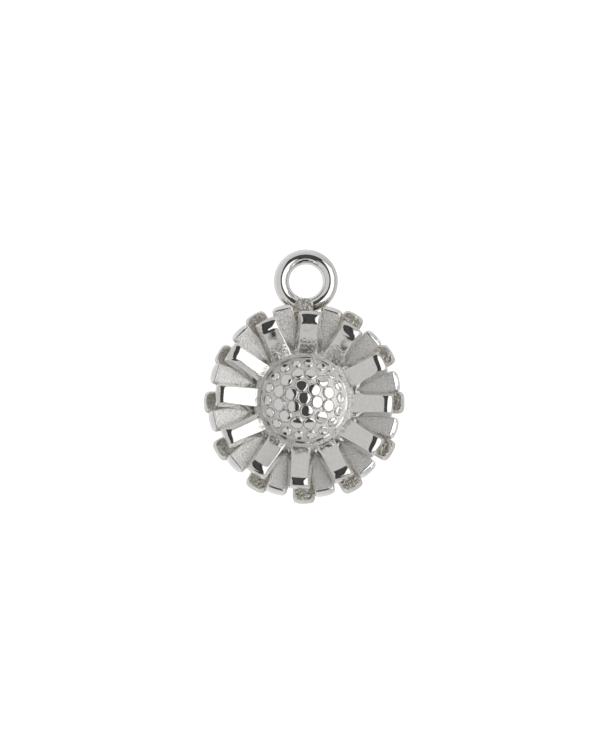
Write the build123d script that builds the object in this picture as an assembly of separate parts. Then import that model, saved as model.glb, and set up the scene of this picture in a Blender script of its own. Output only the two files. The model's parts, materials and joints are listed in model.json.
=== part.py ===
from build123d import *
import os
from math import asin, cos, degrees, radians, sin, sqrt, tan

# A daisy pendant in cast silver, lying on its back: the flower faces +Z and its hanging ring points to +Y.
# The origin is the middle of the flower's back. Lengths are in millimetres, angles in degrees.

# Driving dimensions of the three rosettes
petal_count = 12
hub_radius = 3.30
bend_radius = 4.40  # each petal bends up from the hub to here and then runs straight
web_reach = 0.35  # between the petals the hub goes on beyond its radius by this
web_lift = 0.20  # and starts there this far above its underside
petal_corner = 0.18  # rounding of a tip's corners, seen from above
edge_round = 0.08  # rounding of a petal's upper edges
tier_spread_deg = 2.0  # each rosette's underside opens by this from the top of the one below
piece_gap = 0.03  # clearance between one piece and the next

# Lowest rosette, which lies on the table. A petal's width and tip radius are those at its underside.
# Its surfaces slope by root_deg where they leave the hub and by flank_deg from bend_radius on, and its
# side walls and its end wall lean in by the drafts as they rise
lower_turn_deg = 0.0
lower_tip_radius = 7.52
lower_petal_width = 1.62
lower_hub_height = 0.80
lower_root_deg = 4.0
lower_flank_deg = 8.0
lower_side_draft_deg = 9.0
lower_end_draft_deg = 11.0
back_root_deg = 0.5
back_flank_deg = 4.0

# Middle rosette, whose tips have a bevel: it starts this far back from the end, with a small radius
middle_turn_deg = 12.4
middle_tip_inset = 0.32  # its tips stand back by this from those of the rosette below
middle_petal_width = 1.60
middle_hub_height = 0.68
middle_root_deg = 8.0
middle_flank_deg = 17.0
middle_side_draft_deg = 15.0
middle_end_draft_deg = 8.0
middle_roll_inset = 0.48
middle_roll_radius = 0.12
middle_fall_deg = 32.0

# Top rosette, whose tips roll over in a wide curve
upper_turn_deg = -3.5
upper_tip_inset = 0.54
upper_petal_width = 1.60
upper_hub_height = 0.68
upper_root_deg = 9.0
upper_flank_deg = 29.0
upper_side_draft_deg = 15.0
upper_end_draft_deg = 9.0
upper_roll_inset = 1.00
upper_roll_radius = 0.87
upper_fall_deg = 40.0

# Beaded centre: the dome, and its stem, which is spread into a countersink in the back
dome_radius = 3.25
dome_height = 1.75
dome_rim_height = 0.12
stem_radius = 0.75
rivet_radius = 1.25
rivet_depth = 0.42
bead_height = 0.13
bead_round = 0.07
bead_root = 0.30  # how far a bead reaches down into the dome

# One row for each ring of beads: how many, how far out (seen from above), turn and the bead's radius
BEAD_RINGS = (
    {"count": 1, "out": 0.00, "turn": 0.0, "radius": 0.47},
    {"count": 6, "out": 0.98, "turn": -19.0, "radius": 0.45},
    {"count": 12, "out": 1.93, "turn": 12.8, "radius": 0.42},
    {"count": 18, "out": 2.79, "turn": 1.7, "radius": 0.33},
)

# Hanging ring, soldered behind the tip of the petal that points up, which is longer than the others
ring_wire_radius = 0.565
ring_bore_radius = 1.28
ring_ream = 0.02  # the wire's inner side is reamed by this, which leaves a narrow round land
ring_tip_gap = 0.04  # from the petal's tip to the bore
ring_side_shift = 0.14  # the ring sits this far to the right of the petal's middle line
ring_joint_deg = 90.0  # where the wire's ends meet, from the side away from the flower
ring_petal_extra = 0.20
ring_petal_place = 3  # counted from the petal on +X

# Worked out from them
middle_tip_radius = lower_tip_radius - middle_tip_inset
upper_tip_radius = middle_tip_radius - upper_tip_inset
middle_roll_start = middle_tip_radius - middle_roll_inset
upper_roll_start = upper_tip_radius - upper_roll_inset
middle_floor = lower_hub_height + piece_gap
middle_top = middle_floor + middle_hub_height
upper_floor = middle_top + piece_gap
upper_top = upper_floor + upper_hub_height
dome_floor = upper_top + piece_gap
dome_rim = dome_floor + dome_rim_height
dome_sphere_radius = (dome_radius**2 + dome_height**2) / (2 * dome_height)
dome_centre = dome_rim + dome_height - dome_sphere_radius
stem_hole_radius = stem_radius + piece_gap
ring_distance = lower_tip_radius + ring_petal_extra + ring_tip_gap + ring_bore_radius
ring_wire_circle = ring_bore_radius - ring_ream + ring_wire_radius
UPRIGHT = (Align.CENTER, Align.CENTER, Align.MIN)


def bend(start, slope_from, slope_to, run):
    """An arc in (r, z) from start that turns from one slope to another within run, and its end point."""
    first, middle, last = (radians(a) for a in (slope_from, (slope_from + slope_to) / 2, slope_to))
    radius = run / (sin(last) - sin(first))

    def point(angle):
        return (
            start[0] + radius * (sin(angle) - sin(first)),
            start[1] + radius * (cos(first) - cos(angle)),
        )

    return ThreePointArc(start, point(middle), point(last)), point(last)


def straight(start, slope, reach):
    """A line in (r, z) from start at a slope, out to the radius reach, and its end point."""
    end = (reach, start[1] + (reach - start[0]) * tan(radians(slope)))
    return Line(start, end), end


def rising(height, root_slope, flank_slope, reach):
    """A petal's surface from the side: flat over the hub, bent up beyond it, then straight out to reach."""
    root = (hub_radius, height)
    arc, bent = bend(root, root_slope, flank_slope, bend_radius - hub_radius)
    flank, end = straight(bent, flank_slope, reach)
    return [Line((stem_hole_radius, height), root), arc, flank], end


def rolled(height, root_slope, flank_slope, start, radius, fall_slope, reach):
    """The same, but from the radius start on it rolls over until it falls by fall_slope."""
    edges, crest = rising(height, root_slope, flank_slope, start)
    run = radius * (sin(radians(flank_slope)) + sin(radians(fall_slope)))
    crown, fall = bend(crest, flank_slope, -fall_slope, run)
    down, end = straight(fall, -fall_slope, max(reach, fall[0] + piece_gap))
    return [*edges, crown, down], end


def wall_bar(width, floor, slope, side_draft, reach):
    """A bar along a petal's flank, with drafted side walls, as wide as stated at the petal's underside."""
    half, lean = width / 2, hub_radius * tan(radians(side_draft))
    wide, narrow = half + lean, half - lean
    outline = Polyline(
        (-wide, -hub_radius), (wide, -hub_radius), (narrow, hub_radius), (-narrow, hub_radius), close=True
    )
    rise = radians(slope)
    across = Plane(origin=(hub_radius, 0, floor), x_dir=(0, 1, 0), z_dir=(cos(rise), 0, sin(rise)))
    return extrude(across * make_face(outline), amount=reach, both=True)


def petal(width, tip, drafts, under, over, roll=()):
    """One petal along +X. drafts are its side and end walls' leans. under and over are (height, root slope,
    flank slope) of its two surfaces, and roll, if there is one, (start, radius, fall slope) of its tip."""
    reach = tip + petal_corner
    over_edges, over_end = rolled(*over, *roll, reach) if roll else rising(*over, reach)
    under_edges, under_end = rising(*under, over_end[0])
    root = Line((stem_hole_radius, under[0]), (stem_hole_radius, over[0]))
    section = make_face([*under_edges, *over_edges, Line(under_end, over_end), root])
    _, foot = rising(*under, tip)
    side_draft, end_draft = drafts
    lean = hub_radius * tan(radians(end_draft))
    end = Polyline(
        (0, foot[1] - hub_radius),
        (tip + lean, foot[1] - hub_radius),
        (tip - lean, foot[1] + hub_radius),
        (0, foot[1] + hub_radius),
        close=True,
    )
    section = section & make_face(end)
    bar = wall_bar(width, under[0], (under[2] + over[2]) / 2, side_draft, tip + hub_radius)
    return bar & extrude(Plane.XZ * section, amount=width, both=True)


def rounded(blank):
    """A petal with its tip's corners and its upper edges rounded."""
    halfway = 1 / 2
    wall_limit = sqrt(1 / 2)  # a face is a wall if its normal rises by less than this

    def upright(edge):
        way = edge % halfway
        return abs(way.Z) > max(abs(way.X), abs(way.Y))

    corners = [e for e in blank.edges() if e.center().X > bend_radius and upright(e)]
    blank = fillet(corners, petal_corner)
    faces = blank.faces().sort_by(Axis.X)[1:]  # without the petal's inner end, which the hub takes in
    over = [f for f in faces if f.normal_at().Z > wall_limit]
    walls = [f for f in faces if abs(f.normal_at().Z) < wall_limit]
    wall_edges = [e for f in walls for e in f.edges()]
    rims = [e for f in over for e in f.edges() if any(e.is_same(other) for other in wall_edges)]
    return fillet(rims, edge_round)


def rosette(petals, floor, top, turn):
    """A hub with its petals, bored for the stem, and the web between them."""
    hub = Pos(0, 0, floor) * Cylinder(hub_radius, top - floor, align=UPRIGHT)
    web_floor = floor + web_lift
    web = Pos(0, 0, web_floor) * Cylinder(hub_radius + web_reach, top - web_floor, align=UPRIGHT)
    bore = Pos(0, 0, floor) * Cylinder(stem_hole_radius, top - floor, align=UPRIGHT)
    placed = [Rot(0, 0, turn + 360 / petal_count * n) * one_petal for n, one_petal in enumerate(petals)]
    return hub + web + placed - bore


def lower_petals():
    """The lowest rosette, countersunk for the stem's spread end, with the hanging ring soldered to it."""
    under = (0, back_root_deg, back_flank_deg)
    over = (lower_hub_height, lower_root_deg, lower_flank_deg)
    drafts = (lower_side_draft_deg, lower_end_draft_deg)
    petals = [rounded(petal(lower_petal_width, lower_tip_radius, drafts, under, over))] * petal_count
    ring_tip_radius = lower_tip_radius + ring_petal_extra
    petals[ring_petal_place] = rounded(petal(lower_petal_width, ring_tip_radius, drafts, under, over))
    body = rosette(petals, 0, lower_hub_height, lower_turn_deg)
    countersink = Cone(rivet_radius + piece_gap, stem_hole_radius, rivet_depth, align=UPRIGHT)
    ring_deg = lower_turn_deg + 360 / petal_count * ring_petal_place
    at_ring = Rot(0, 0, ring_deg) * Pos(ring_distance, -ring_side_shift, 0)
    at_wire = at_ring * Pos(0, 0, ring_wire_radius) * Rot(0, 0, ring_joint_deg)
    wire = at_wire * Torus(ring_wire_circle, ring_wire_radius)
    bore = at_ring * Cylinder(ring_bore_radius, 2 * ring_wire_radius, align=UPRIGHT)
    return body - countersink + wire - bore


def middle_petals():
    """The middle rosette."""
    under = (middle_floor, lower_root_deg + tier_spread_deg, lower_flank_deg + tier_spread_deg)
    over = (middle_top, middle_root_deg, middle_flank_deg)
    drafts = (middle_side_draft_deg, middle_end_draft_deg)
    roll = (middle_roll_start, middle_roll_radius, middle_fall_deg)
    one_petal = rounded(petal(middle_petal_width, middle_tip_radius, drafts, under, over, roll))
    return rosette([one_petal] * petal_count, middle_floor, middle_top, middle_turn_deg)


def upper_petals():
    """The top rosette."""
    under = (upper_floor, middle_root_deg + tier_spread_deg, middle_flank_deg + tier_spread_deg)
    over = (upper_top, upper_root_deg, upper_flank_deg)
    drafts = (upper_side_draft_deg, upper_end_draft_deg)
    roll = (upper_roll_start, upper_roll_radius, upper_fall_deg)
    one_petal = rounded(petal(upper_petal_width, upper_tip_radius, drafts, under, over, roll))
    return rosette([one_petal] * petal_count, upper_floor, upper_top, upper_turn_deg)


def bead(radius):
    """A low round bead with a flat crown, standing on the top of a dome that is centred on the origin."""
    crown_radius = dome_sphere_radius + bead_height
    foot = dome_sphere_radius - bead_root
    shoulder = sqrt(crown_radius**2 - radius**2)
    crown_middle = radius / 2
    edges = [
        Line((0, foot), (radius, foot)),
        Line((radius, foot), (radius, shoulder)),
        ThreePointArc(
            (radius, shoulder),
            (crown_middle, sqrt(crown_radius**2 - crown_middle**2)),
            (0, crown_radius),
        ),
        Line((0, crown_radius), (0, foot)),
    ]
    half = make_face(edges)
    edge = half.vertices().sort_by_distance((radius, shoulder))[0]
    return revolve(Plane.XZ * fillet(edge, bead_round), Axis.Z)


def beaded_centre():
    """The dome with its beads, on its stem, whose end is spread into the countersink."""
    halfway = dome_radius / 2
    edges = [
        Polyline(
            (0, dome_rim + dome_height),
            (0, 0),
            (rivet_radius, 0),
            (stem_radius, rivet_depth),
            (stem_radius, dome_floor),
            (dome_radius, dome_floor),
            (dome_radius, dome_rim),
        ),
        ThreePointArc(
            (dome_radius, dome_rim),
            (halfway, dome_centre + sqrt(dome_sphere_radius**2 - halfway**2)),
            (0, dome_rim + dome_height),
        ),
    ]
    dome = revolve(Plane.XZ * make_face(edges), Axis.Z)
    beads = []
    for ring in BEAD_RINGS:
        tilt = degrees(asin(ring["out"] / (dome_sphere_radius + bead_height)))
        for n in range(ring["count"]):
            turn = ring["turn"] + 360 / ring["count"] * n
            beads.append(Pos(0, 0, dome_centre) * Rot(0, 0, turn) * Rot(0, tilt, 0) * bead(ring["radius"]))
    return dome + beads


os.makedirs("parts", exist_ok=True)
for piece in (lower_petals, middle_petals, upper_petals, beaded_centre):
    export_step(piece(), f"parts/{piece.__name__}.step")
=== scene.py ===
import json
import math

import bmesh
import bpy
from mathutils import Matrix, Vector

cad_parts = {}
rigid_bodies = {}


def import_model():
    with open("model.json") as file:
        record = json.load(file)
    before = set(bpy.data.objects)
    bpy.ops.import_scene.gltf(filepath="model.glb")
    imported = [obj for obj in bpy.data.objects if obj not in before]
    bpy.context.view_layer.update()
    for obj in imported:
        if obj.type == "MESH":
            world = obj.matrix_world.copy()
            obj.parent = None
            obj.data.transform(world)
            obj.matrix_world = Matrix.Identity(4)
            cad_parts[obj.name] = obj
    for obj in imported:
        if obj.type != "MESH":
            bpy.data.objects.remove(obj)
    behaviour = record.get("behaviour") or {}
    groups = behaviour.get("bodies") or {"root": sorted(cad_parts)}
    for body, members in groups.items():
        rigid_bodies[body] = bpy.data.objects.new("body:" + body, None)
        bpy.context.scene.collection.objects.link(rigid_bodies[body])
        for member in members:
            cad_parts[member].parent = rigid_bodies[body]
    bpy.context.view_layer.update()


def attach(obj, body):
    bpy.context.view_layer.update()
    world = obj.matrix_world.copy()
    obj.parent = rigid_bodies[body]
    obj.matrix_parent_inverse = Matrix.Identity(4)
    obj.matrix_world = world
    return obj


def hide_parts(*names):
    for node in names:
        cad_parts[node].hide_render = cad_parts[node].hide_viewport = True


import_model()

# A daisy pendant in cast silver, lying on its back on a light table. Sizes are in millimetres and angles in
# degrees, as in the part's source, and become metres where a mesh is made.
MM = 0.001

# Rosettes
PETAL_COUNT = 12
HUB_RADIUS = 3.30
HUB_EDGE = 0.10
BEND_RADIUS = 4.40
STEM_HOLE = 0.78

# The web between the petals: how high its underside is over the hub's, how much further out that step is, and how
# its top falls away, as steps out from its radius and down from the hub's top
WEB_RADIUS = 3.65
WEB_LIFT = 0.20
WEB_STEP = 0.01
WEB_FALL = ((0.10, -0.36), (0.05, -0.24), (-0.05, -0.12), (-0.18, -0.04))

# One row for each rosette, from the lowest up:
#   turn           the angle of its first petal from +X
#   tip, width     how far its petals reach, and how wide they are at the hub
#   drafts         the lean of the side walls and of the end wall
#   under, over    height of the lower and the upper face at the hub, their slope there and beyond the bend
#   root           a steeper slope of the upper face at the hub, where a wheel has cut into it
#   roll           where the tip starts to turn over, how tightly, and how steeply it then falls
#   end            how far its end is arched, and how far its corners are cut
#   edge           how wide the edges are rounded
#   camber         how much lower the sides are than the middle, on the flank and on the rolled tip
#   wave           how deep the waves are that a hand left in its skin
#   flank_stations, tip_stations
#                  where a petal is divided along its length. On the tip they are counted from where its roll
#                  starts, or from its end if it has none
#   ring_petal     the petal that carries the hanging ring
# The rest is how each petal was left by the hand that finished it, counted from the petal on +X:
#   hand           its turn off the pattern, and how much longer it is
#   early          how much sooner its tip rolls over
#   rough          how much further out its root stayed rough
#   facet          how deep a facet is filed along its left side, or along its right side if negative
ROSETTES = {
    "lower_petals": {
        "turn": 0.0,
        "tip": 7.52,
        "width": 1.62,
        "drafts": (9.0, 11.0),
        "under": (0.0, 0.5, 4.0),
        "over": (0.80, 4.0, 8.0),
        "roll": None,
        "end": (0.10, 0.10),
        "edge": 0.09,
        "camber": (0.05, 0.05),
        "wave": 0.05,
        "flank_stations": (5.5, 6.2, 6.8),
        "tip_stations": (-0.45,),
        "ring_petal": 3,
        "hand": (
            (-0.2, 0.00), (-0.1, 0.06), (-0.3, 0.16), (0.0, 0.20), (0.0, 0.10), (-0.3, -0.06),
            (0.2, -0.03), (0.2, 0.07), (0.2, 0.06), (0.0, 0.09), (0.0, 0.11), (0.0, 0.09),
        ),
    },
    "middle_petals": {
        "turn": 12.4,
        "tip": 7.20,
        "width": 1.60,
        "drafts": (8.0, 8.0),
        "under": (0.83, 6.0, 10.0),
        "over": (1.51, 8.0, 17.0),
        "roll": (6.72, 0.12, 32.0),
        "end": (0.11, 0.09),
        "edge": 0.08,
        "camber": (0.03, 0.08),
        "wave": 0.03,
        "flank_stations": (5.5, 6.1),
        "tip_stations": (-0.18, -0.05, 0.03, 0.10, 0.20),
        "hand": (
            (-0.3, 0.07), (-0.5, 0.06), (0.1, 0.12), (0.5, 0.13), (0.4, 0.05), (0.1, 0.02),
            (0.2, 0.02), (0.0, 0.08), (0.0, 0.10), (0.2, 0.08), (-0.1, 0.08), (0.3, 0.07),
        ),
    },
    "upper_petals": {
        "turn": -3.5,
        "tip": 6.66,
        "width": 1.60,
        "drafts": (15.0, 9.0),
        "under": (1.54, 10.0, 19.0),
        "over": (2.22, 9.0, 29.0),
        "root": 21.0,
        "roll": (5.72, 0.775, 40.0),
        "end": (0.04, 0.06),
        "edge": 0.06,
        "camber": (0.03, 0.06),
        "wave": 0.025,
        "flank_stations": (5.3,),
        "tip_stations": (-0.08, 0.04, 0.20, 0.38, 0.56),
        "hand": (
            (0.0, -0.02), (-0.4, -0.05), (-0.5, -0.02), (-0.5, -0.01), (-0.5, -0.03), (0.0, -0.02),
            (0.2, -0.06), (-0.3, -0.06), (0.1, -0.01), (0.1, 0.0), (0.2, 0.02), (0.0, 0.0),
        ),
        "early": (0.04, 0.08, 0.14, 0.13, 0.12, 0.10, 0.08, 0.03, 0.0, -0.06, -0.05, -0.02),
        "rough": (0.0, 0.3, 1.0, 0.9, 0.9, 0.3, 0.0, 0.0, 0.2, 0.2, 0.1, 0.0),
        "facet": (0.0, 0.0, 0.0, 0.0, 0.0, 0.11, 0.0, -0.11, 0.0, 0.02, 0.0, 0.0),
    },
}

# What all petals share: stations on the root, the levels of the wall and of the top, how far the end's top edge
# and the walls' feet are rounded, and how much lower the rim is. At the root they flare out, the feet most
ROOT_STATIONS = (1.2, 2.4, 3.1, 3.5, 3.9, 4.3, 4.8)
WALL, TOP = 2, 4
WALL_HEIGHT = 0.45
END_EDGE = 0.17
FOOT_EDGE = 0.12
RIM_DROP = 0.02
ROOT_FLARE = 0.22
FLARE_SHARES = (1.0, 0.8, 0.4, 0.1, 0.0)
FLARE_END = 5.2
FLARE_LENGTH = 1.3
# a tip that rolls over sooner also does it more widely
ROLL_WIDENING = 0.7
# how far the rolled tip takes to reach its own camber
CAMBER_EASE = 0.2
# what share of a corner's cut the points next to it take
CUT_SHARE = 0.3
# where polish sets in on the top petals, and over what length
POLISH_START = 3.1
POLISH_EASE = 0.8

# The waves in the petals' skin, and how far the patina and painted shade spread from where the next rosette stands
# on it
WAVE_SIZE = 1.1
CORNER_SHADE_SPREAD = 0.13

# Beaded centre
DOME_RADIUS = 3.25
DOME_HEIGHT = 1.75
DOME_FLOOR = 2.25
DOME_RIM = 2.37
DOME_EDGE = 0.04
DOME_SPHERE = (DOME_RADIUS**2 + DOME_HEIGHT**2) / (2 * DOME_HEIGHT)
DOME_CENTRE = DOME_RIM + DOME_HEIGHT - DOME_SPHERE
BEAD_HEIGHT = 0.14
BEAD_RINGS = (
    {"count": 1, "out": 0.00, "turn": 0.0, "radius": 0.47},
    {"count": 6, "out": 1.00, "turn": -19.0, "radius": 0.46},
    {"count": 12, "out": 1.95, "turn": 13.4, "radius": 0.45},
    {"count": 18, "out": 2.79, "turn": 1.7, "radius": 0.36},
)
# A bead's crown falls a little towards its shoulder, which turns down sharply into the groove round it. The
# groove is steps out from the bead's rim and heights from its crown. The tilt is a share of a bead's own axis
BEAD_SHARES = (0.2, 0.4, 0.6, 0.74, 0.83, 0.89, 0.94, 0.98, 1.0)
BEAD_CROWN = 0.033
BEAD_SHOULDER = 0.10
BEAD_GROOVE = ((0.012, -BEAD_HEIGHT), (0.06, -0.16), (0.09, -0.21), (0.09, -0.34))
BEAD_TILT = 0.02
STEM_RADIUS = 0.75
RIVET_RADIUS = 1.25
RIVET_DEPTH = 0.42
RIVET_EDGE = 0.03

# Hanging ring. The drawn wire is slightly flat between four low ridges
WIRE_RADIUS = 0.565
WIRE_FLAT = 0.04
WIRE_CIRCLE = 1.825
WIRE_SIDES = 48
RING_DISTANCE = 9.04
RING_SHIFT = 0.14
RING_PETAL_DRAFT = 1.0
SOLDER_CENTRE = (-0.76, 7.52, 0.66)
SOLDER_HALF = (0.46, 0.46, 0.42)
SOLDER_LEAN = 0.10

# Light table: how far it is flat, and the radius that it then curves up with
TABLE_TOP = -0.02
TABLE_FLAT = 400.0
TABLE_CURVE = 400.0

# Polish and tone of a surface. A polish below zero is an evenly blasted face, duller than the grain of casting
BLASTED = (-1.0, 0.0)
GRAINED = (0.0, 0.0)
HIDDEN = (0.0, 0.2)
POLISHED = (1.0, 0.0)

# Studio, as the silver mirrors it. Sizes are tangents of the angle from straight up, or from the middle of the
# softbox, and tones are brightness. A pair says where a change starts and where it is complete, or the tones
# before and after it. FRAME_FRONT, the sides and the horizon are parts of a direction of length 1 instead. The
# stand is a dark strip overhead that flares towards its far end and has a wider bar across its near end
STAND_LEFT = 0.06
STAND_HALF = 0.30
STAND_FLARE = 0.5
FLARE_FROM = 0.2
BAR_WIDER = 0.42
BAR_EASE = (-0.55, -0.9)
STAND_EDGE = (0.03, -0.03)
STAND_FAR_END = (1.2, 1.1)
STAND_NEAR_END = (-1.17, -1.09)
STAND_SHADE = (0.0, -0.25)
STAND_TONES = (0.022, 0.065)
SOFTBOX_LEAN = 47.0
SOFTBOX_HALF = {"wide": 0.70, "tall": 0.66}
SOFTBOX_SHIFT = {"wide": 0.06, "tall": 0.02}
SOFTBOX_EDGE = (0.01, -0.01)
SOFTBOX_TONE = 1.35
FRAME_EDGE = (0.09, 0.05)
FRAME_FRONT = (0.05, 0.2)
FRAME_TONE = 0.12
TENT_SIDE = (0.2, 0.9)
TENT_TONES = (0.62, 0.45)
BELOW_SIDE = (-0.1, 0.6)
BELOW_TONES = (0.74, 0.58)
HORIZON = (-0.02, -0.12)
# the least that anything is divided by
LEAST = 0.02

SMOOTH = {"interpolation_type": "SMOOTHSTEP"}


def linear(code):
    """A colour written as sRGB hex, as the linear values that Blender mixes."""
    parts = [int(code[n : n + 2], 16) / 255 for n in (1, 3, 5)]
    return (*(v / 12.92 if v <= 0.04045 else ((v + 0.055) / 1.055) ** 2.4 for v in parts), 1.0)


def add(tree, kind, inputs=(), out=0, **settings):
    """Adds a node with its settings and returns one of its outputs, or all of them where out is None. An input is
    a plain value or the output that it is linked from, in the sockets' order or by name."""
    made = tree.nodes.new(kind)
    for name, value in settings.items():
        setattr(made, name, value)
    for key, value in inputs.items() if isinstance(inputs, dict) else enumerate(inputs):
        if isinstance(value, bpy.types.NodeSocket):
            tree.links.new(value, made.inputs[key])
        else:
            made.inputs[key].default_value = value
    return made.outputs if out is None else made.outputs[out]


# Studio light


def light_studio():
    """The room as the silver mirrors it: a pale tent, a tall softbox on the right, the dark of the camera stand."""
    world = bpy.data.worlds.new("studio")
    bpy.context.scene.world = world
    world.use_nodes = True
    tree = world.node_tree
    tree.nodes.clear()
    way = add(tree, "ShaderNodeTexCoord", out="Generated")
    x, y, z = add(tree, "ShaderNodeSeparateXYZ", [way], out=None)

    # the dark of the camera and its stand
    up = add(tree, "ShaderNodeMath", [z, LEAST], operation="MAXIMUM")
    far = add(tree, "ShaderNodeMath", [y, up], operation="DIVIDE")
    aside = add(tree, "ShaderNodeMath", [x, up], operation="DIVIDE")
    aside = add(tree, "ShaderNodeMath", [aside, STAND_LEFT], operation="ADD")
    aside = add(tree, "ShaderNodeMath", [aside], operation="ABSOLUTE")
    bar = add(tree, "ShaderNodeMapRange", [far, *BAR_EASE, 0.0, BAR_WIDER], **SMOOTH)
    half = add(tree, "ShaderNodeMath", [far, FLARE_FROM], operation="SUBTRACT")
    half = add(tree, "ShaderNodeMath", [half, 0.0], operation="MAXIMUM")
    half = add(tree, "ShaderNodeMath", [half, STAND_FLARE, STAND_HALF], operation="MULTIPLY_ADD")
    half = add(tree, "ShaderNodeMath", [half, bar], operation="ADD")
    beside = add(tree, "ShaderNodeMath", [aside, half], operation="SUBTRACT")
    dark = add(tree, "ShaderNodeMapRange", [beside, *STAND_EDGE], **SMOOTH)
    far_end = add(tree, "ShaderNodeMapRange", [far, *STAND_FAR_END], **SMOOTH)
    near_end = add(tree, "ShaderNodeMapRange", [far, *STAND_NEAR_END], **SMOOTH)
    dark = add(tree, "ShaderNodeMath", [dark, far_end], operation="MULTIPLY")
    dark = add(tree, "ShaderNodeMath", [dark, near_end], operation="MULTIPLY")
    shade = add(tree, "ShaderNodeMapRange", [beside, *STAND_SHADE, *STAND_TONES], **SMOOTH)

    # the softbox leans over the right side, with a thin black frame
    lean = math.radians(SOFTBOX_LEAN)
    facing = (math.sin(lean), 0.0, math.cos(lean))
    facing = add(tree, "ShaderNodeVectorMath", [way, facing], out="Value", operation="DOT_PRODUCT")
    facing = add(tree, "ShaderNodeMath", [facing, LEAST], operation="MAXIMUM")
    tall = (-math.cos(lean), 0.0, math.sin(lean))
    tall = add(tree, "ShaderNodeVectorMath", [way, tall], out="Value", operation="DOT_PRODUCT")
    past = []
    for side, way_off in (("wide", y), ("tall", tall)):
        off = add(tree, "ShaderNodeMath", [way_off, facing], operation="DIVIDE")
        off = add(tree, "ShaderNodeMath", [off, SOFTBOX_SHIFT[side]], operation="SUBTRACT")
        off = add(tree, "ShaderNodeMath", [off], operation="ABSOLUTE")
        past.append(add(tree, "ShaderNodeMath", [off, SOFTBOX_HALF[side]], operation="SUBTRACT"))
    edge = add(tree, "ShaderNodeMath", past, operation="MAXIMUM")
    box = add(tree, "ShaderNodeMapRange", [edge, *SOFTBOX_EDGE], **SMOOTH)
    rim = add(tree, "ShaderNodeMapRange", [edge, *FRAME_EDGE], **SMOOTH)
    in_front = add(tree, "ShaderNodeMapRange", [facing, *FRAME_FRONT], **SMOOTH)
    rim = add(tree, "ShaderNodeMath", [rim, in_front], operation="MULTIPLY")

    # the tent is a little darker on the right, and lit from below by what the table throws back
    tone = add(tree, "ShaderNodeMapRange", [x, *TENT_SIDE, *TENT_TONES], **SMOOTH)
    tone = add(tree, "ShaderNodeMix", {0: rim, 2: tone, 3: FRAME_TONE}, data_type="FLOAT")
    tone = add(tree, "ShaderNodeMix", {0: box, 2: tone, 3: SOFTBOX_TONE}, data_type="FLOAT")
    tone = add(tree, "ShaderNodeMix", {0: dark, 2: tone, 3: shade}, data_type="FLOAT")
    below = add(tree, "ShaderNodeMapRange", [x, *BELOW_SIDE, *BELOW_TONES], **SMOOTH)
    under = add(tree, "ShaderNodeMapRange", [z, *HORIZON], **SMOOTH)
    tone = add(tree, "ShaderNodeMix", {0: under, 2: tone, 3: below}, data_type="FLOAT")
    back = add(tree, "ShaderNodeBackground", {"Color": tone, "Strength": 1.0})
    add(tree, "ShaderNodeOutputWorld", {"Surface": back}, out=None)


def add_camera():
    """Almost straight above, five degrees towards the near side, with the photograph's framing."""
    lens, sensor, view_height, tilt = 200.0, 36.0, 55.70, math.radians(5)
    aim = Vector((-0.30, 1.91, 1.74))
    data = bpy.data.cameras.new("camera")
    data.lens, data.sensor_width = lens, sensor
    data.clip_start, data.clip_end = 0.01, 10.0
    camera = bpy.data.objects.new("camera", data)
    away = Vector((0.0, -math.sin(tilt), math.cos(tilt)))
    camera.location = (aim + away * (view_height * lens / sensor)) * MM
    camera.rotation_euler = (tilt, 0.0, 0.0)
    bpy.context.collection.objects.link(camera)
    bpy.context.scene.camera = camera


# Finishes. Real grain, pores and pits are a few hundredths of a millimetre across, too fine to show in the render,
# so they are drawn as coarse as the sizes below


def new_material(name):
    """A new material and its empty node tree."""
    material = bpy.data.materials.new(name)
    material.use_nodes = True
    material.node_tree.nodes.clear()
    return material, material.node_tree


def surface_facts(tree):
    """Where a point of a piece is, how far it was polished, and how much patina and painted shade the corner that
    it lies in gets.
    """
    place = add(tree, "ShaderNodeTexCoord", out="Object")
    polish = add(tree, "ShaderNodeAttribute", out="Fac", attribute_name="polish")
    patina_and_shade = add(tree, "ShaderNodeAttribute", out="Fac", attribute_name="tone")
    return place, polish, patina_and_shade


def brown_with_shade(tree, patina_and_shade, place, pitted):
    """How brown the silver is: the tone attribute, which holds patina and, in corners and grooves, painted shade,
    in stains a third of a millimetre across, and the pits between the grains, as far as the surface is pitted."""
    stains = add(tree, "ShaderNodeTexNoise", {"Vector": place, "Scale": 1 / (0.3 * MM), "Detail": 3.0})
    stains = add(tree, "ShaderNodeMapRange", [stains, 0.3, 0.7, 0.5, 1.0], **SMOOTH)
    stains = add(tree, "ShaderNodeMath", [patina_and_shade, stains], operation="MULTIPLY")
    pits = add(tree, "ShaderNodeTexNoise", {"Vector": place, "Scale": 1 / (0.12 * MM), "Detail": 1.0})
    pits = add(tree, "ShaderNodeMapRange", [pits, 0.45, 0.75, 0.0, 0.8], **SMOOTH)
    pits = add(tree, "ShaderNodeMath", [pits, pitted], operation="MULTIPLY")
    return add(tree, "ShaderNodeMath", [stains, pits], operation="MAXIMUM")


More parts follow.
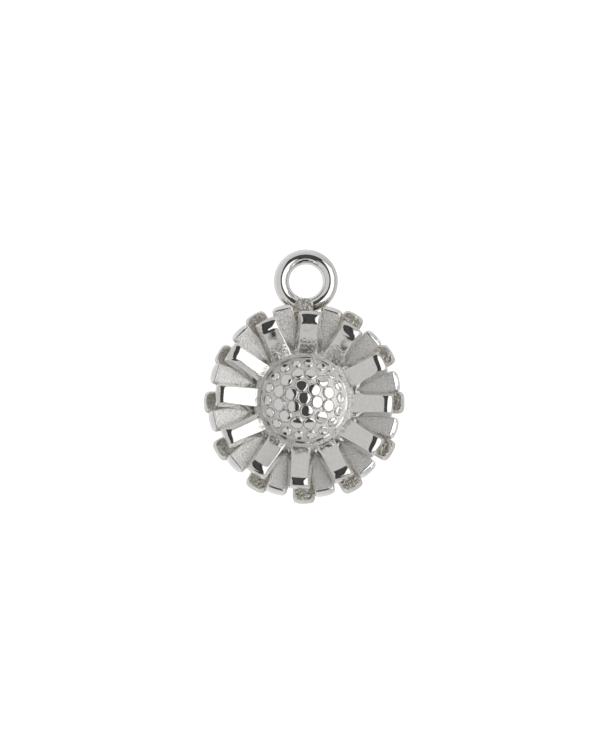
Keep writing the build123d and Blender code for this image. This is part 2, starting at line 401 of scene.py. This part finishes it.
def polished_silver():
    """Sterling silver, cast, plated and hand polished: a mirror with faint waves, and with grain where no wheel
    reached it."""
    material, tree = new_material("polished_silver")
    place, polish, patina_and_shade = surface_facts(tree)
    matte = add(tree, "ShaderNodeMapRange", [polish, 0.15, 0.95, 1.0, 0.0], **SMOOTH)
    brown = brown_with_shade(tree, patina_and_shade, place, matte)
    # the darker colour is patina, and painted shade where the tone attribute marks corners and grooves
    clean, shade_and_patina_colour = linear("#F4F3F1"), linear("#BFB9AD")
    colour = add(tree, "ShaderNodeMix", {0: brown, 6: clean, 7: shade_and_patina_colour}, out=2, data_type="RGBA")
    smears = add(tree, "ShaderNodeTexNoise", {"Vector": place, "Scale": 1 / (0.5 * MM), "Detail": 3.0})
    smears = add(tree, "ShaderNodeMapRange", [smears, 0.35, 0.7, 0.06, 0.13], **SMOOTH)
    blasted = add(tree, "ShaderNodeMapRange", [polish, -1.0, 0.0, 0.55, 0.18], **SMOOTH)
    roughness = add(tree, "ShaderNodeMath", [matte, blasted, smears], operation="MULTIPLY_ADD")
    waves = add(tree, "ShaderNodeTexNoise", {"Vector": place, "Scale": 1 / (0.7 * MM), "Detail": 2.0})
    skin = add(tree, "ShaderNodeBump", {"Height": waves, "Strength": 0.25, "Distance": 0.02 * MM})
    pores = add(tree, "ShaderNodeTexNoise", {"Vector": place, "Scale": 1 / (0.11 * MM), "Detail": 2.0})
    skin = add(tree, "ShaderNodeBump", {"Height": pores, "Strength": 0.10, "Distance": 0.01 * MM, "Normal": skin})
    grain = add(tree, "ShaderNodeTexNoise", {"Vector": place, "Scale": 1 / (0.22 * MM), "Detail": 1.5})
    skin = add(tree, "ShaderNodeBump", {"Height": grain, "Strength": matte, "Distance": 0.05 * MM, "Normal": skin})
    metal = {"Base Color": colour, "Metallic": 1.0, "Roughness": roughness, "Normal": skin}
    surface = add(tree, "ShaderNodeBsdfPrincipled", metal)
    add(tree, "ShaderNodeOutputMaterial", {"Surface": surface}, out=None)
    return material


def satin_silver():
    """Sterling silver, plated, left with the sparkling matte grain of its casting between polished edges."""
    material, tree = new_material("satin_silver")
    place, polish, patina_and_shade = surface_facts(tree)
    matte = add(tree, "ShaderNodeMapRange", [polish, 0.2, 0.9, 1.0, 0.08], **SMOOTH)
    pitted = add(tree, "ShaderNodeMapRange", [polish, 0.2, 0.9, 0.3, 0.0], **SMOOTH)
    brown = brown_with_shade(tree, patina_and_shade, place, pitted)
    # the darker colour is patina, and painted shade where the tone attribute marks corners and grooves
    clean, shade_and_patina_colour = linear("#FDFCFA"), linear("#B9B3A8")
    colour = add(tree, "ShaderNodeMix", {0: brown, 6: clean, 7: shade_and_patina_colour}, out=2, data_type="RGBA")
    roughness = add(tree, "ShaderNodeMapRange", [polish, 0.2, 0.9, 0.52, 0.12], **SMOOTH)
    grain = add(tree, "ShaderNodeTexNoise", {"Vector": place, "Scale": 1 / (0.15 * MM), "Detail": 2.0})
    skin = add(tree, "ShaderNodeBump", {"Height": grain, "Strength": matte, "Distance": 0.085 * MM})
    metal = {"Base Color": colour, "Metallic": 1.0, "Roughness": roughness, "Normal": skin}
    surface = add(tree, "ShaderNodeBsdfPrincipled", metal)
    add(tree, "ShaderNodeOutputMaterial", {"Surface": surface}, out=None)
    return material


def cast_silver():
    """Sterling silver as it left the mould: rough, and brown with patina where no polishing wheel reached, and with
    painted shade where the tone attribute marks corners.
    """
    material, tree = new_material("cast_silver")
    place, polish, patina_and_shade = surface_facts(tree)
    matte = add(tree, "ShaderNodeMapRange", [polish, 0.2, 0.9, 1.0, 0.12], **SMOOTH)
    brown = brown_with_shade(tree, patina_and_shade, place, matte)
    # the darker colour is patina, and painted shade where the tone attribute marks corners and grooves
    clean, shade_and_patina_colour = linear("#F5F3EE"), linear("#9F947F")
    colour = add(tree, "ShaderNodeMix", {0: brown, 6: clean, 7: shade_and_patina_colour}, out=2, data_type="RGBA")
    roughness = add(tree, "ShaderNodeMapRange", [polish, 0.2, 0.9, 0.32, 0.16], **SMOOTH)
    grain = add(tree, "ShaderNodeTexNoise", {"Vector": place, "Scale": 1 / (0.24 * MM), "Detail": 2.5})
    skin = add(tree, "ShaderNodeBump", {"Height": grain, "Strength": matte, "Distance": 0.15 * MM})
    metal = {"Base Color": colour, "Metallic": 1.0, "Roughness": roughness, "Normal": skin}
    surface = add(tree, "ShaderNodeBsdfPrincipled", metal)
    add(tree, "ShaderNodeOutputMaterial", {"Surface": surface}, out=None)
    return material


def lit_acrylic():
    """The opal acrylic of a light table: white and lit from below, so that things on it throw almost no shadow."""
    material, tree = new_material("lit_acrylic")
    opal = {"Base Color": linear("#808080"), "Roughness": 0.9}
    glow = {"Emission Color": linear("#FFFFFF"), "Emission Strength": 0.96}
    surface = add(tree, "ShaderNodeBsdfPrincipled", {**opal, **glow})
    add(tree, "ShaderNodeOutputMaterial", {"Surface": surface}, out=None)
    return material


# Shapes


def tan(angle):
    return math.tan(math.radians(angle))


def within(value):
    """A value held between 0 and 1."""
    return min(max(value, 0.0), 1.0)


def rise(reach, height, root_slope, flank_slope):
    """Height of a rosette's surface: flat over the hub, bent up beyond it, then straight."""
    if reach <= HUB_RADIUS:
        return height
    first, last = math.radians(root_slope), math.radians(flank_slope)
    radius = (BEND_RADIUS - HUB_RADIUS) / (math.sin(last) - math.sin(first))
    angle = math.asin(math.sin(first) + (min(reach, BEND_RADIUS) - HUB_RADIUS) / radius)
    bent = height + radius * (math.cos(first) - math.cos(angle))
    return bent + max(reach - BEND_RADIUS, 0.0) * math.tan(last)


def rolled(reach, over, start, radius, fall_slope):
    """The same, rolled over from the radius start on, until it falls by fall_slope."""
    if reach <= start:
        return rise(reach, *over)
    first, last = math.radians(over[2]), math.radians(fall_slope)
    crown = radius * (math.sin(first) + math.sin(last))
    angle = math.asin(math.sin(first) - min(reach - start, crown) / radius)
    height = rise(start, *over) + radius * (math.cos(angle) - math.cos(first))
    return height - max(reach - start - crown, 0.0) * math.tan(last)


def mesh_object(name, shell):
    """An object with the mesh that a bmesh holds, smoothly shaded."""
    mesh = bpy.data.meshes.new(name)
    shell.to_mesh(mesh)
    shell.free()
    mesh.polygons.foreach_set("use_smooth", [True] * len(mesh.polygons))
    thing = bpy.data.objects.new(name, mesh)
    bpy.context.collection.objects.link(thing)
    return thing


def make_plain(thing):
    """Turns what the modifiers make of an object into its own mesh."""
    held = thing.evaluated_get(bpy.context.evaluated_depsgraph_get())
    mesh = bpy.data.meshes.new_from_object(held)
    thing.modifiers.clear()
    thing.data = mesh
    return thing


def block(name, counts, place, finish):
    """A closed block of quads. place gives the point of a lattice in millimetres, finish its polish and tone."""
    shell = bmesh.new()
    layers = [shell.verts.layers.float.new(layer) for layer in ("polish", "tone")]
    points = {}

    def point(*at):
        if at not in points:
            points[at] = shell.verts.new(Vector(place(*at)) * MM)
            for layer, value in zip(layers, finish(*at)):
                points[at][layer] = value
        return points[at]

    for axis in range(3):
        across, along = (n for n in range(3) if n != axis)
        for side in (0, counts[axis]):
            for a in range(counts[across]):
                for b in range(counts[along]):
                    corners = []
                    for da, db in ((0, 0), (1, 0), (1, 1), (0, 1)):
                        at = [0, 0, 0]
                        at[axis], at[across], at[along] = side, a + da, b + db
                        corners.append(point(*at))
                    shell.faces.new(corners)
    bmesh.ops.recalc_face_normals(shell, faces=shell.faces)
    return mesh_object(name, shell)


def petal(name, row, n, finish_at):
    """Petal n of a rosette, along +X and turned by its hand angle, as a block to be smoothed by subdivision. Along
    its length it is divided at its stations and twice on its end wall, and across it has seven points on each of
    five levels: foot, foot's edge, wall, rim and top."""
    under, over, roll = row["under"], row["over"], row["roll"]
    side_draft, end_draft = row["drafts"]
    arch, corner = row["end"]
    edge = row["edge"]
    flank_camber, tip_camber = row["camber"]
    turn, longer = row["hand"][n]
    facet = row["facet"][n] if "facet" in row else 0.0
    tip, half = row["tip"] + longer, row["width"] / 2
    if row.get("ring_petal") == n:
        end_draft = RING_PETAL_DRAFT
    if "root" in row:
        # the wheel lowered the root, and left the flank where it was
        steep = (over[0], row["root"], over[2])
        over = (over[0] + rise(BEND_RADIUS, *over) - rise(BEND_RADIUS, *steep), *steep[1:])
    if "early" in row:
        roll = (roll[0] - row["early"][n], roll[1] + ROLL_WIDENING * row["early"][n], roll[2])
    elif roll:
        roll = (roll[0] + longer, *roll[1:])
    start = roll[0] if roll else tip
    stations = [*ROOT_STATIONS, *row["flank_stations"], *(start + step for step in row["tip_stations"])]
    last = len(stations) + 1
    lean = (under[2] + over[2]) / 2
    narrowing = math.cos(math.radians(lean)) * tan(side_draft)
    turned = math.radians(turn)

    def top(reach):
        return rolled(reach, over, *roll) if roll else rise(reach, *over)

    # where the drafted end wall meets the top
    foot = rise(tip, *under)
    brow = tip
    for _ in range(20):
        brow = tip - (top(brow) - foot) * tan(end_draft)

    def place(i, j, k):
        reach = stations[min(i, len(stations) - 1)]
        if i >= len(stations):
            wall = foot + WALL_HEIGHT * (top(brow) - foot)
            ends = (foot, foot + FOOT_EDGE, wall, top(brow) - edge, top(brow))
            reach = tip - (ends[k] - foot) * tan(end_draft) - (END_EDGE if i < last else 0.0)
        low, high = rise(reach, *under), top(reach)
        height = (low, low + FOOT_EDGE, low + WALL_HEIGHT * (high - low), high - edge, high)[k]
        loop = (edge if i < last else END_EDGE) / half
        share = (-1.0, -1.0 + loop, -0.5, 0.0, 0.5, 1.0 - loop, 1.0)[j]
        half_here = half - (height - under[0] - (reach - HUB_RADIUS) * tan(lean)) * narrowing
        half_here += ROOT_FLARE * FLARE_SHARES[k] * within((FLARE_END - reach) / FLARE_LENGTH)
        if k > WALL:
            on_tip = within((reach - start) / CAMBER_EASE) if roll else 0.0
            height -= flank_camber * (1.0 - on_tip) * share**2 + tip_camber * on_tip * share**4
            height -= abs(facet) * max(math.copysign(share, share * facet) - 0.5, 0.0) * 2
            if k == TOP and j in (0, 6):
                height -= RIM_DROP
        if i >= last - 1:
            cut = corner if i == last else CUT_SHARE * corner
            reach -= arch * share**2 + (cut if j in (0, 6) else CUT_SHARE * cut if j in (1, 5) else 0.0)
            if j in (0, 6):
                half_here -= cut
        across = share * half_here
        return (
            reach * math.cos(turned) - across * math.sin(turned),
            reach * math.sin(turned) + across * math.cos(turned),
            height,
        )

    def finish(i, j, k):
        reach = stations[i] if i < len(stations) else tip
        if "rough" in row:
            reach -= row["rough"][n]
        return finish_at(reach, k, j in (0, 6), i >= last - 1, start)

    return block(name, (last, 6, 4), place, finish)


def upper_finish(reach, level, side, end, start):
    """Polish and tone of a top petal: mirror bright but for its root and the feet of its walls."""
    if level < WALL:
        return 0.5, 0.2
    bright = within((reach - POLISH_START) / POLISH_EASE)
    return (bright, 0.22) if level > WALL else (0.8 * bright, 0.15)


def middle_finish(reach, level, side, end, start):
    """Polish and tone of a middle petal: matte on top, with polished rims and bevel."""
    if level < WALL:
        # the feet of the walls are browned: patina, and painted shade where they stand on the rosette below
        return (0.8, 0.1) if end else (0.9, 0.2)
    if level == TOP and not side and reach < start:
        return GRAINED
    return POLISHED if level > WALL else (1.0, 0.05)


def lower_finish(reach, level, side, end, start):
    """Polish and tone of a low petal: rough, and brown with patina and with painted shade from the petals above,
    with a rubbed end wall.
    """
    if end:
        return ((0.5, 0.3), (0.5, 0.2), (0.6, 0.1), (0.5, 0.1), (0.1, 0.4))[level]
    # painted shade, with patina: the top is browned, its sides more, the feet of its walls most
    return (0.0, 0.6 if side else 0.35) if level > WALL else (0.0, 0.8)


def rosette_tree():
    """Geometry nodes that set the petals round the middle, wave their skin as a hand that polishes does, and brown
    the silver in the corners where the next rosette stands on it: patina, with painted shade where that rosette
    shades it."""
    tree = bpy.data.node_groups.new("rosette", "GeometryNodeTree")
    made = tree.interface
    made.new_socket("Geometry", in_out="INPUT", socket_type="NodeSocketGeometry")
    for name, kind in (
        ("Petals", "NodeSocketCollection"),
        ("Count", "NodeSocketInt"),
        ("Turn", "NodeSocketFloat"),
        ("Wave depth", "NodeSocketFloat"),
        ("Wave size", "NodeSocketFloat"),
        ("Next turn", "NodeSocketFloat"),
        ("Next half", "NodeSocketFloat"),
        ("Next tip", "NodeSocketFloat"),
        ("Corner", "NodeSocketFloat"),
        ("Finish", "NodeSocketMaterial"),
    ):
        made.new_socket(name, in_out="INPUT", socket_type=kind)
    made.new_socket("Geometry", in_out="OUTPUT", socket_type="NodeSocketGeometry")
    given = add(tree, "NodeGroupInput", out=None)

    points = add(tree, "GeometryNodePoints", {"Count": given["Count"]})
    index = add(tree, "GeometryNodeInputIndex")
    sector = add(tree, "ShaderNodeMath", [math.tau, given["Count"]], operation="DIVIDE")
    turned = add(tree, "ShaderNodeMath", [index, sector, given["Turn"]], operation="MULTIPLY_ADD")
    turned = add(tree, "ShaderNodeCombineXYZ", {"Z": turned})
    turned = add(tree, "FunctionNodeEulerToRotation", [turned])
    variants = {"Collection": given["Petals"], "Separate Children": True, "Reset Children": True}
    variants = add(tree, "GeometryNodeCollectionInfo", variants)
    picked = {"Instance": variants, "Pick Instance": True, "Instance Index": index}
    copies = add(tree, "GeometryNodeInstanceOnPoints", {"Points": points, "Rotation": turned, **picked})
    petals = add(tree, "GeometryNodeRealizeInstances", {"Geometry": copies})

    place = add(tree, "GeometryNodeInputPosition")
    waves = add(tree, "ShaderNodeTexNoise", {"Vector": place, "Scale": given["Wave size"], "Detail": 1.0})
    depth = add(tree, "ShaderNodeMath", [waves, 0.5], operation="SUBTRACT")
    depth = add(tree, "ShaderNodeMath", [depth, given["Wave depth"]], operation="MULTIPLY")
    outward = add(tree, "GeometryNodeInputNormal")
    shift = add(tree, "ShaderNodeVectorMath", {0: outward, "Scale": depth}, operation="SCALE")
    petals = add(tree, "GeometryNodeSetPosition", {"Geometry": petals, "Offset": shift})

    # how far a point stands from the nearest petal of the next rosette, and how much patina and painted shade that
    # puts on it
    x, y, _ = add(tree, "ShaderNodeSeparateXYZ", [place], out=None)
    flat = add(tree, "ShaderNodeCombineXYZ", [x, y, 0.0])
    out = add(tree, "ShaderNodeVectorMath", [flat], out="Value", operation="LENGTH")
    angle = add(tree, "ShaderNodeMath", [y, x], operation="ARCTAN2")
    angle = add(tree, "ShaderNodeMath", [angle, given["Next turn"]], operation="SUBTRACT")
    ahead = add(tree, "ShaderNodeMath", [sector, 0.5], operation="MULTIPLY")
    behind = add(tree, "ShaderNodeMath", [sector, -0.5], operation="MULTIPLY")
    angle = add(tree, "ShaderNodeMath", [angle, ahead, behind], operation="WRAP")
    aside = add(tree, "ShaderNodeMath", [angle], operation="SINE")
    aside = add(tree, "ShaderNodeMath", [out, aside], operation="MULTIPLY")
    aside = add(tree, "ShaderNodeMath", [aside], operation="ABSOLUTE")
    aside = add(tree, "ShaderNodeMath", [aside, given["Next half"]], operation="SUBTRACT")
    beyond = add(tree, "ShaderNodeMath", [out, given["Next tip"]], operation="SUBTRACT")
    apart = add(tree, "ShaderNodeMath", [aside, beyond], operation="MAXIMUM")
    # corner is painted shade, with patina, in the corner under the next rosette's petal
    corner = add(tree, "ShaderNodeMapRange", [apart, 0.0, given["Corner"], 1.0, 0.0], **SMOOTH)
    kept = add(tree, "GeometryNodeInputNamedAttribute", {"Name": "tone"}, data_type="FLOAT")
    tone = {"Name": "tone", "Value": add(tree, "ShaderNodeMath", [kept, corner], operation="MAXIMUM")}
    petals = add(
        tree,
        "GeometryNodeStoreNamedAttribute",
        {"Geometry": petals, **tone},
        data_type="FLOAT",
        domain="POINT",
    )
    petals = add(tree, "GeometryNodeSetMaterial", {"Geometry": petals, "Material": given["Finish"]})
    add(tree, "NodeGroupOutput", [petals], out=None)
    return tree


def bead_tree():
    """Geometry nodes that set one ring of beads on the dome, each square to it but for a small tilt."""
    tree = bpy.data.node_groups.new("bead_ring", "GeometryNodeTree")
    made = tree.interface
    made.new_socket("Geometry", in_out="INPUT", socket_type="NodeSocketGeometry")
    for name, kind in (
        ("Count", "NodeSocketInt"),
        ("Turn", "NodeSocketFloat"),
        ("Slope", "NodeSocketFloat"),
        ("Sphere radius", "NodeSocketFloat"),
        ("Sphere height", "NodeSocketFloat"),
        ("Tilt", "NodeSocketFloat"),
        ("Seed", "NodeSocketInt"),
        ("Finish", "NodeSocketMaterial"),
    ):
        made.new_socket(name, in_out="INPUT", socket_type=kind)
    made.new_socket("Geometry", in_out="OUTPUT", socket_type="NodeSocketGeometry")
    given = add(tree, "NodeGroupInput", out=None)

    # the direction of each bead from the middle of the dome's sphere, and its place on it
    index = add(tree, "GeometryNodeInputIndex")
    angle = add(tree, "ShaderNodeMath", [index, given["Count"]], operation="DIVIDE")
    angle = add(tree, "ShaderNodeMath", [angle, math.tau, given["Turn"]], operation="MULTIPLY_ADD")
    east = add(tree, "ShaderNodeMath", [angle], operation="COSINE")
    north = add(tree, "ShaderNodeMath", [angle], operation="SINE")
    out = add(tree, "ShaderNodeMath", [given["Slope"]], operation="SINE")
    east = add(tree, "ShaderNodeMath", [out, east], operation="MULTIPLY")
    north = add(tree, "ShaderNodeMath", [out, north], operation="MULTIPLY")
    up = add(tree, "ShaderNodeMath", [given["Slope"]], operation="COSINE")
    axis = add(tree, "ShaderNodeCombineXYZ", [east, north, up])
    centre = add(tree, "ShaderNodeCombineXYZ", {"Z": given["Sphere height"]})
    place = add(tree, "ShaderNodeVectorMath", {0: axis, "Scale": given["Sphere radius"]}, operation="SCALE")
    place = add(tree, "ShaderNodeVectorMath", [place, centre], operation="ADD")
    points = add(tree, "GeometryNodePoints", {"Count": given["Count"], "Position": place})

    spread = add(tree, "ShaderNodeCombineXYZ", [given["Tilt"]] * 3)
    against = add(tree, "ShaderNodeVectorMath", {0: spread, "Scale": -1.0}, operation="SCALE")
    chance = {0: against, 1: spread, "ID": index, "Seed": given["Seed"]}
    chance = add(tree, "FunctionNodeRandomValue", chance, data_type="FLOAT_VECTOR")
    stand = add(tree, "ShaderNodeVectorMath", [axis, chance], operation="ADD")
    stand = add(tree, "FunctionNodeAlignRotationToVector", {"Vector": stand}, axis="Z")
    copies = {"Points": points, "Instance": given["Geometry"], "Rotation": stand}
    copies = add(tree, "GeometryNodeInstanceOnPoints", copies)
    beads = add(tree, "GeometryNodeRealizeInstances", {"Geometry": copies})
    beads = add(tree, "GeometryNodeSetMaterial", {"Geometry": beads, "Material": given["Finish"]})
    add(tree, "NodeGroupOutput", [beads], out=None)
    return tree


def run_nodes(thing, tree, **values):
    """Runs a node tree on an object with the inputs named, and keeps the plain mesh that it makes."""
    modifier = thing.modifiers.new(tree.name, "NODES")
    modifier.node_group = tree
    for item in tree.interface.items_tree:
        key = item.name.lower().replace(" ", "_")
        if item.in_out == "INPUT" and key in values:
            modifier[item.identifier] = values[key]
    return make_plain(thing)


def lathe(name, outline, segments, finish=None):
    """A turned shell. outline is (radius, height) in millimetres, from axis to axis, or a loop off the axis, or
    for a dish from the axis outwards. finish is the polish and tone at each of its points."""
    shell = bmesh.new()
    layers = [shell.verts.layers.float.new(layer) for layer in ("polish", "tone")]
    rings = []
    for n, (radius, height) in enumerate(outline):
        ring = []
        for s in range(1 if radius == 0 else segments):
            angle = math.tau * s / segments
            vert = shell.verts.new(Vector((radius * math.cos(angle), radius * math.sin(angle), height)) * MM)
            for layer, value in zip(layers, finish[n] if finish else POLISHED):
                vert[layer] = value
            ring.append(vert)
        rings.append(ring)
    closed = outline[0][0] > 0
    for first, second in zip(rings, rings[1:] + ([rings[0]] if closed else [])):
        for s in range(segments):
            t = (s + 1) % segments
            corners = [ring[at % len(ring)] for ring, at in ((first, s), (first, t), (second, t), (second, s))]
            unique = [v for n, v in enumerate(corners) if v not in corners[:n]]
            if len(unique) > 2:
                shell.faces.new(unique)
    bmesh.ops.recalc_face_normals(shell, faces=shell.faces)
    return mesh_object(name, shell)


def arc(centre, radius, start, end, count):
    """Points (r, z) on an arc, from one angle above the r axis to another."""
    steps = (math.radians(start + (end - start) * n / count) for n in range(count + 1))
    return [(centre[0] + radius * math.cos(a), centre[1] + radius * math.sin(a)) for a in steps]


def joined(things):
    """One object out of several, under the first one's name."""
    chosen = {"active_object": things[0], "selected_objects": things, "selected_editable_objects": things}
    with bpy.context.temp_override(**chosen):
        bpy.ops.object.join()
    return things[0]


def dress(thing, material):
    """Gives an object one material."""
    thing.data.materials.clear()
    thing.data.materials.append(material)


# Pieces


def hub(name, floor, top):
    """A rosette's middle: a disc with the stem's hole, and the web between the petals."""
    web = WEB_RADIUS + WEB_FALL[0][0]
    outline = [(STEM_HOLE, floor), (HUB_RADIUS - HUB_EDGE, floor), (HUB_RADIUS, floor + HUB_EDGE)]
    outline += [(HUB_RADIUS + WEB_STEP, floor + WEB_LIFT), (web, floor + WEB_LIFT)]
    outline += [(WEB_RADIUS + out, top + down) for out, down in WEB_FALL]
    outline += [(HUB_RADIUS, top), (STEM_HOLE, top)]
    return lathe(name, outline, segments=120, finish=[BLASTED] * len(outline))


def rosette(name, material, finish_at, above):
    """A hub with its twelve petals as one plain mesh. above is the rosette that stands on it."""
    row = ROSETTES[name]
    pattern = bpy.data.collections.new(name + "_pattern")
    bpy.context.scene.collection.children.link(pattern)
    for n in range(PETAL_COUNT):
        one = petal(f"{name}_{n:02d}", row, n, finish_at)
        smooth = one.modifiers.new("smooth", "SUBSURF")
        smooth.levels = smooth.render_levels = 2
        make_plain(one)
        bpy.context.collection.objects.unlink(one)
        pattern.objects.link(one)
    carrier = bpy.data.objects.new(name + "_mesh", bpy.data.meshes.new(name + "_mesh"))
    bpy.context.collection.objects.link(carrier)
    following = ROSETTES.get(above, {"turn": 0.0, "width": 0.0, "tip": 0.0})
    run_nodes(
        carrier,
        ROSETTE_TREE,
        petals=pattern,
        count=PETAL_COUNT,
        turn=math.radians(row["turn"]),
        wave_depth=row["wave"] * MM,
        wave_size=1 / (WAVE_SIZE * MM),
        next_turn=math.radians(following["turn"]),
        next_half=following["width"] / 2 * MM,
        next_tip=following["tip"] * MM,
        # how far the corner's painted shade and patina spread
        corner=CORNER_SHADE_SPREAD * MM,
        finish=material,
    )
    for one in list(pattern.objects):
        bpy.data.objects.remove(one)
    bpy.data.collections.remove(pattern)
    middle = hub(name + "_hub", row["under"][0], row["over"][0])
    dress(middle, material)
    return joined([carrier, middle])


def dome(material):
    """The dome on its stem, whose end is spread into the back. Its rim is rubbed bright."""
    outline = [(0, 0), (RIVET_RADIUS - RIVET_EDGE, 0), (RIVET_RADIUS, RIVET_EDGE)]
    outline += [(STEM_RADIUS, RIVET_DEPTH), (STEM_RADIUS, DOME_FLOOR), (DOME_RADIUS - DOME_EDGE, DOME_FLOOR)]
    outline += [(DOME_RADIUS, DOME_FLOOR + DOME_EDGE), (DOME_RADIUS, DOME_RIM - DOME_EDGE)]
    finish = [HIDDEN] * len(outline)
    # the skin runs from just inside the rim to the pole
    rim = math.degrees(math.asin((DOME_RIM - DOME_CENTRE) / DOME_SPHERE))
    skin = [*arc((0, DOME_CENTRE), DOME_SPHERE, rim + 0.6, 88, count=26), (0, DOME_CENTRE + DOME_SPHERE)]
    finish += [POLISHED] * 2 + [GRAINED] * (len(skin) - 2)
    body = lathe("dome", outline + skin, segments=128, finish=finish)
    dress(body, material)
    return body


def beads(material):
    """The rings of beads on the dome: low round buttons with flat crowns, each in a thin groove browned with patina
    and painted shade.
    """
    crown = DOME_SPHERE + BEAD_HEIGHT
    falls = [BEAD_CROWN * s**2 + BEAD_SHOULDER * (1 - (1 - s**7) ** 0.2) for s in BEAD_SHARES]
    # the groove round each bead is browned: patina, with painted shade in its hollow
    finish = [POLISHED] * len(BEAD_SHARES) + [(1.0, 0.4), (0.3, 1.0), (0.0, 1.0)] + [(0.0, 0.5)] * 3
    rings = []
    for n, row in enumerate(BEAD_RINGS):
        radius = row["radius"]
        outline = [(0, 0)] + [(radius * s, -fall) for s, fall in zip(BEAD_SHARES, falls)]
        outline += [(radius + out, height) for out, height in BEAD_GROOVE] + [(0, BEAD_GROOVE[-1][1])]
        bead = lathe(f"beads_{n}", outline, segments=32, finish=finish)
        ring = run_nodes(
            bead,
            BEAD_TREE,
            count=row["count"],
            turn=math.radians(row["turn"]),
            slope=math.asin(row["out"] / crown),
            sphere_radius=crown * MM,
            sphere_height=DOME_CENTRE * MM,
            tilt=BEAD_TILT,
            seed=n,
            finish=material,
        )
        rings.append(ring)
    return joined(rings)


def hanging_ring(material):
    """The closed ring of round wire behind the petal that points up."""
    outline = []
    for n in range(WIRE_SIDES):
        angle = math.tau * n / WIRE_SIDES
        radius = WIRE_RADIUS * (1 - WIRE_FLAT * (1 - math.cos(4 * angle)))
        outline.append((WIRE_CIRCLE + radius * math.cos(angle), radius * math.sin(angle)))
    ring = lathe("hanging_ring", outline, segments=128)
    for vert in ring.data.vertices:
        vert.co += Vector((RING_SHIFT, RING_DISTANCE, WIRE_RADIUS)) * MM
    dress(ring, material)
    return ring


def solder(material):
    """The solder that has run up beside the petal where the wire of the ring meets it: a leaning lump."""
    outline = [(0, -1), *arc((0, 0), 1.0, -75, 75, count=10), (0, 1)]
    seam = lathe("solder_seam", outline, segments=24, finish=[(0.4, 0.0)] * len(outline))
    for vert in seam.data.vertices:
        x, y, z = (centre + half * c / MM for centre, half, c in zip(SOLDER_CENTRE, SOLDER_HALF, vert.co))
        vert.co = Vector((x + SOLDER_LEAN * vert.co.y / MM, y, z)) * MM
    dress(seam, material)
    return seam


def light_table(material):
    """The floor: flat, then curving up far behind the object. The silver mirrors the tent in place of it."""
    centre = (TABLE_FLAT, TABLE_TOP + TABLE_CURVE)
    table = lathe("light_table", [(0, TABLE_TOP), *arc(centre, TABLE_CURVE, 270, 360, count=12)], segments=64)
    table.visible_glossy = False
    dress(table, material)
    return table


light_studio()
add_camera()
bpy.context.scene.view_settings.view_transform = "Standard"

ROSETTE_TREE = rosette_tree()
BEAD_TREE = bead_tree()
polished, satin, cast = polished_silver(), satin_silver(), cast_silver()

lower = rosette("lower_petals", cast, lower_finish, "middle_petals")
middle = rosette("middle_petals", satin, middle_finish, "upper_petals")
upper = rosette("upper_petals", polished, upper_finish, None)
centre = dome(satin)
buttons = beads(polished)
ring = hanging_ring(polished)
seam = solder(cast)

for piece, slot_name, nodes in (
    (lower, "cast_silver", ["lower_petals"]),
    (middle, "satin_silver", ["middle_petals"]),
    (upper, "polished_silver", ["upper_petals"]),
    (centre, "satin_silver", ["beaded_centre"]),
    (buttons, "polished_silver", []),
    (ring, "polished_silver", []),
    (seam, "cast_silver", []),
):
    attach(piece, "root")
    if nodes:
        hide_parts(*nodes)

floor = light_table(lit_acrylic())
